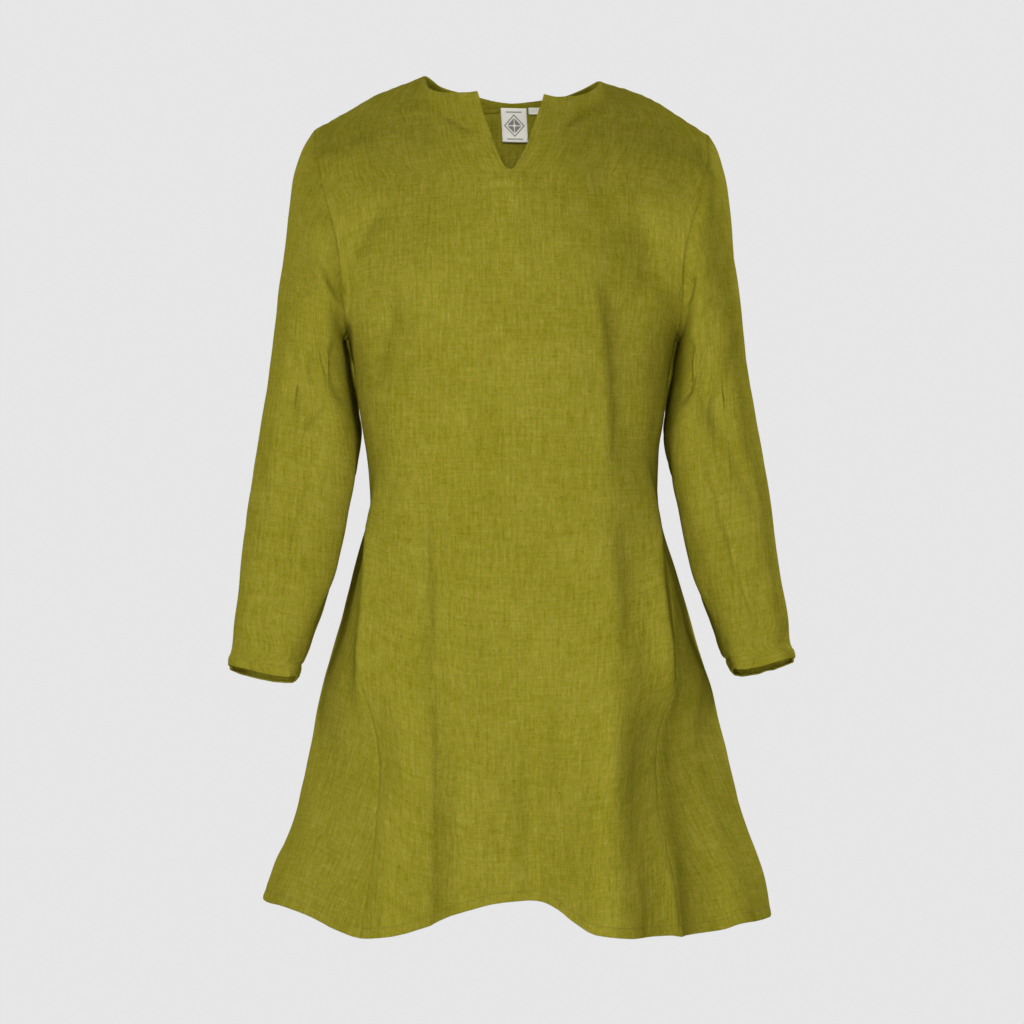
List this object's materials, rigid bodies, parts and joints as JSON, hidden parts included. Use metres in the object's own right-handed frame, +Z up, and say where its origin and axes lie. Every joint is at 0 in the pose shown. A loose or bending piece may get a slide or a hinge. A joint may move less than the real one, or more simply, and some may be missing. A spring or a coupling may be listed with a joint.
{
  "type": "linen tunic",
  "caption": "Knee-length long-sleeved pullover tunic in worn shape, with a slit neckline, set-in sleeves and a side gore on each side.",
  "frame": {"origin": "midway between the two points where the shoulder seams meet the neckline, level with the inside of the cloth there, which is where the tunic hangs from its wearer", "axes": "+Z up the wearer's body, front of the tunic towards -Y, the wearer's left towards +X"},
  "size_m": [0.6617, 0.3545, 0.9818],
  "materials": {
    "linen": "olive green plain-weave linen, slubbed",
    "binding": "the same linen, seen from inside",
    "label": "cream woven ribbon"
  },
  "bodies": {
    "root": {"front_panel": "linen", "back_panel": "linen", "gore_right": "linen", "gore_left": "linen", "sleeve_right": "linen", "sleeve_left": "linen", "back_neck_band": "binding", "neck_label": "label", "size_tab": "label"}
  },
  "joints": []
}
